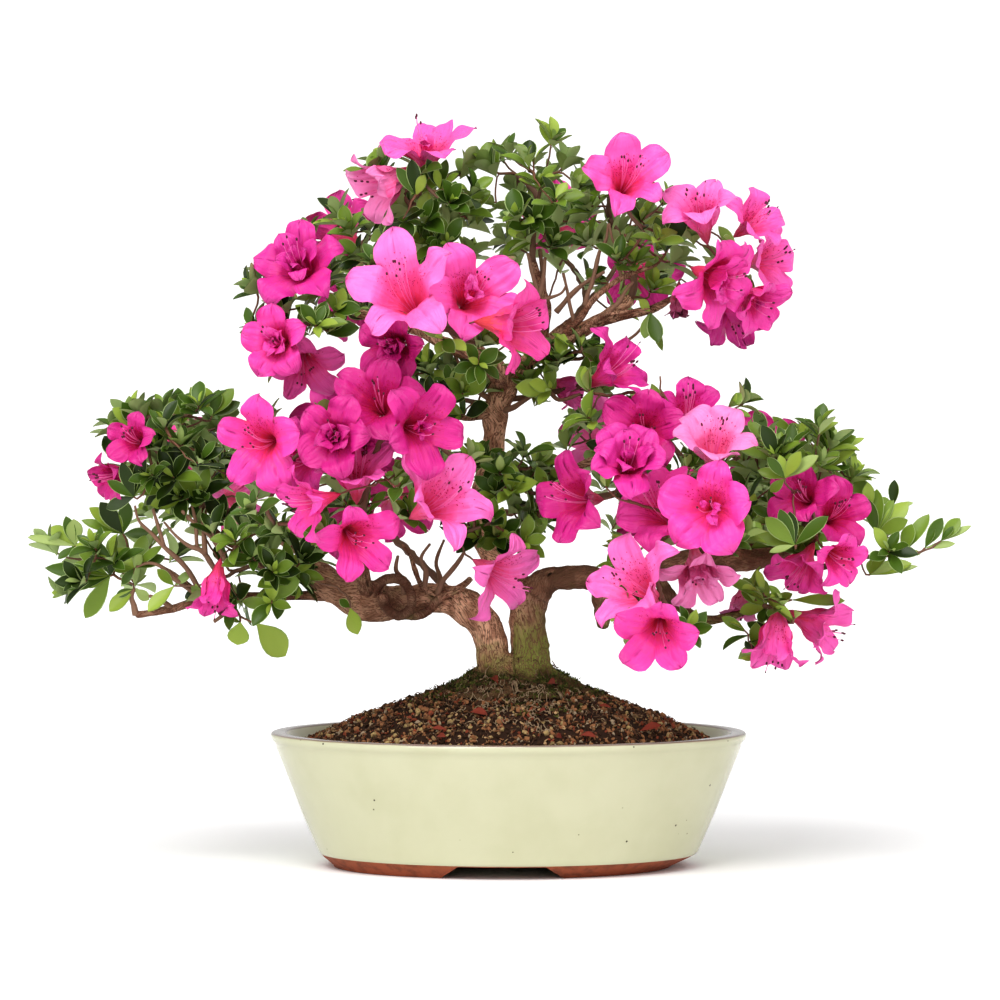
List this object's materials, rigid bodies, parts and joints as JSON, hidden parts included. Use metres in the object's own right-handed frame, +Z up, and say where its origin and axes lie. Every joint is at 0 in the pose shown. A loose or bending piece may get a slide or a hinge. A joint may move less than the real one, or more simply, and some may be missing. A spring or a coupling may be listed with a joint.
{
  "type": "azalea bonsai in a glazed pot",
  "caption": "Flowering azalea bonsai with twin trunks, spreading boughs and layered pads of leaves and pink blossom, in a low oval pale glazed pot.",
  "frame": {"origin": "centre of the whole plant's extent in X and Y, at the flat underside of the pot's foot", "axes": "+X along the pot's length, to the right in the picture; +Y away from the viewer; +Z up"},
  "size_m": [0.5711, 0.3453, 0.4541],
  "materials": {
    "glaze": "gloss",
    "soil": "rough",
    "bark": "rough",
    "young_bark": "rough",
    "leaves": "satin",
    "blossom": "satin"
  },
  "bodies": {
    "root": {"back_crown_left": "leaves", "back_crown_left_bough": "young_bark", "back_crown_right": "leaves", "back_crown_right_bough": "young_bark", "back_left_inner": "leaves", "back_left_pad": "leaves", "back_right_inner": "leaves", "back_right_pad": "leaves", "centre_spray": "leaves", "crown_far_bough": "young_bark", "crown_front_bough": "young_bark", "crown_front_flowers": "blossom", "crown_left_bough": "bark", "crown_left_flowers": "blossom", "crown_right": "leaves", "crown_right_bough": "bark", "crown_right_flowers": "blossom", "crown_top": "leaves", "crown_top_bough": "young_bark", "crown_top_left": "leaves", "crown_top_left_bough": "young_bark", "inner_left_spray": "leaves", "inner_right_spray": "leaves", "left_back_bough": "young_bark", "left_bough": "bark", "left_flowers": "blossom", "left_front_bough": "young_bark", "left_low_bough": "young_bark", "left_pad": "leaves", "left_pad_bough": "young_bark", "left_tip": "leaves", "left_tip_bough": "young_bark", "left_trunk": "bark", "left_under": "leaves", "main_trunk_lower": "bark", "main_trunk_upper": "bark", "mid_right_bough": "young_bark", "pot": "glaze", "right_arch": "bark", "right_back_bough": "young_bark", "right_bough": "bark", "right_flowers": "blossom", "right_front_bough": "young_bark", "right_low": "leaves", "right_low_bough": "young_bark", "right_pad": "leaves", "right_stub": "bark", "right_tip": "leaves", "right_tip_bough": "young_bark", "right_trunk": "bark", "right_upper_flowers": "blossom", "soil": "soil", "trunk_base": "bark"}
  },
  "joints": []
}
